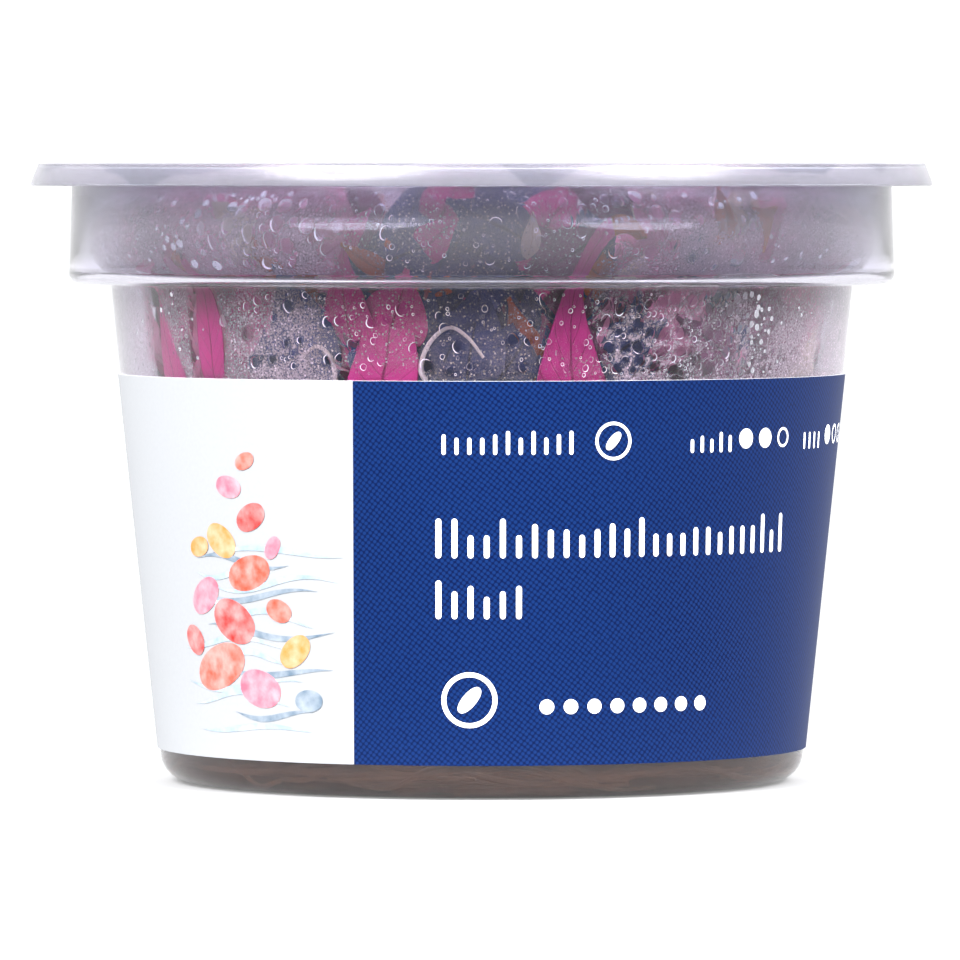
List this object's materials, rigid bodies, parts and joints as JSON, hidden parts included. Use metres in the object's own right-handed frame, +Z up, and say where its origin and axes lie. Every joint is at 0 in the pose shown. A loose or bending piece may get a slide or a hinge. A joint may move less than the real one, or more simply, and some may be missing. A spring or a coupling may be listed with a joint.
{
  "type": "alternanthera reineckii in a culture cup",
  "caption": "Red-leaved aquarium plantlets in nutrient gel inside a round clear culture cup with a shoulder, a press-in lid and a plain printed wrap.",
  "frame": {"origin": "centre of the cup's flat base, on the surface that it stands on", "axes": "+Z up along the cup's axis; the label's printed front faces -Y; +X to the right of someone who faces the front"},
  "size_m": [0.1052, 0.1052, 0.072],
  "materials": {
    "cup_plastic": "clear moulded polypropylene, fogged inside",
    "lid_plastic": "clear moulded polypropylene, fogged inside",
    "label_print": "satin screened print on white film",
    "nutrient_gel": "wet translucent gel",
    "stem": "smooth fleshy stem",
    "root": "wet white root",
    "leaf_magenta": "veined magenta leaf underside",
    "leaf_plum": "veined plum leaf",
    "leaf_bronze": "veined bronze leaf"
  },
  "bodies": {
    "root": {"cup": "cup_plastic", "lid": "lid_plastic", "label": "label_print", "gel": "nutrient_gel", "stem_1": "stem", "stem_2": "stem", "stem_3": "stem", "stem_4": "stem", "stem_5": "stem", "stem_6": "stem", "stem_7": "stem", "stem_8": "stem", "root_1": "root", "root_2": "root", "root_3": "root", "leaf_1_1": "leaf_plum", "leaf_1_2": "leaf_bronze", "leaf_1_3": "leaf_magenta", "leaf_1_4": "leaf_magenta", "leaf_1_5": "leaf_bronze", "leaf_1_6": "leaf_magenta", "leaf_2_1": "leaf_magenta", "leaf_2_2": "leaf_plum", "leaf_2_3": "leaf_magenta", "leaf_2_4": "leaf_magenta", "leaf_2_5": "leaf_plum", "leaf_2_6": "leaf_bronze", "leaf_3_1": "leaf_bronze", "leaf_3_2": "leaf_magenta", "leaf_3_3": "leaf_magenta", "leaf_3_4": "leaf_bronze", "leaf_3_5": "leaf_magenta", "leaf_3_6": "leaf_plum", "leaf_4_1": "leaf_plum", "leaf_4_2": "leaf_bronze", "leaf_4_3": "leaf_magenta", "leaf_4_4": "leaf_plum", "leaf_4_5": "leaf_bronze", "leaf_4_6": "leaf_magenta", "leaf_5_1": "leaf_magenta", "leaf_5_2": "leaf_plum", "leaf_5_3": "leaf_bronze", "leaf_5_4": "leaf_magenta", "leaf_6_1": "leaf_bronze", "leaf_6_2": "leaf_magenta", "leaf_6_3": "leaf_plum", "leaf_6_4": "leaf_bronze", "leaf_7_1": "leaf_plum", "leaf_7_2": "leaf_bronze", "leaf_7_3": "leaf_magenta", "leaf_7_4": "leaf_plum", "leaf_8_1": "leaf_magenta", "leaf_8_2": "leaf_plum", "leaf_8_3": "leaf_bronze", "leaf_8_4": "leaf_magenta"}
  },
  "joints": []
}
